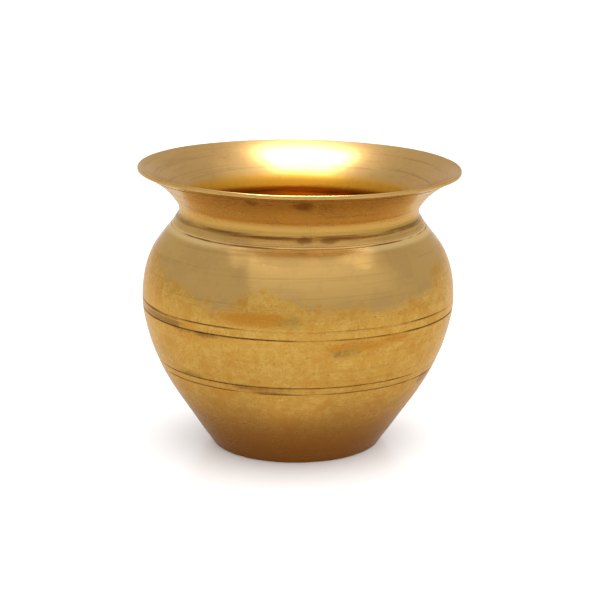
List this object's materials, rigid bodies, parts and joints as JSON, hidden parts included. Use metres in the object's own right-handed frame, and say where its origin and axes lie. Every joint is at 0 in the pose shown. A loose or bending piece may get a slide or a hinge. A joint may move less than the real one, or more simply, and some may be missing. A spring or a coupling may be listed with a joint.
{
  "type": "brass kalash pot",
  "caption": "Squat round-bellied brass water pot with a tight neck, a wide flared mouth, engraved lines round the belly and a flat foot.",
  "frame": {"origin": "centre of the foot, on the surface that the pot stands on", "axes": "+Z is the pot's axis, from the foot to the mouth; the pot is round, so X and Y are any pair across it"},
  "size_m": [0.127, 0.127, 0.1119],
  "materials": {
    "body_brass": "lathe-polished satin with light tarnish",
    "collar_brass": "lathe-polished, brighter inside the mouth",
    "base_brass": "duller sheet, lightly tarnished",
    "braze": "paler brazing metal, as cast"
  },
  "bodies": {
    "root": {"base_disc": "base_brass", "base_braze": "braze", "lower_bowl": "body_brass", "belly_braze": "braze", "shoulder_shell": "body_brass", "neck_braze": "braze", "mouth_collar": "collar_brass"}
  },
  "joints": []
}
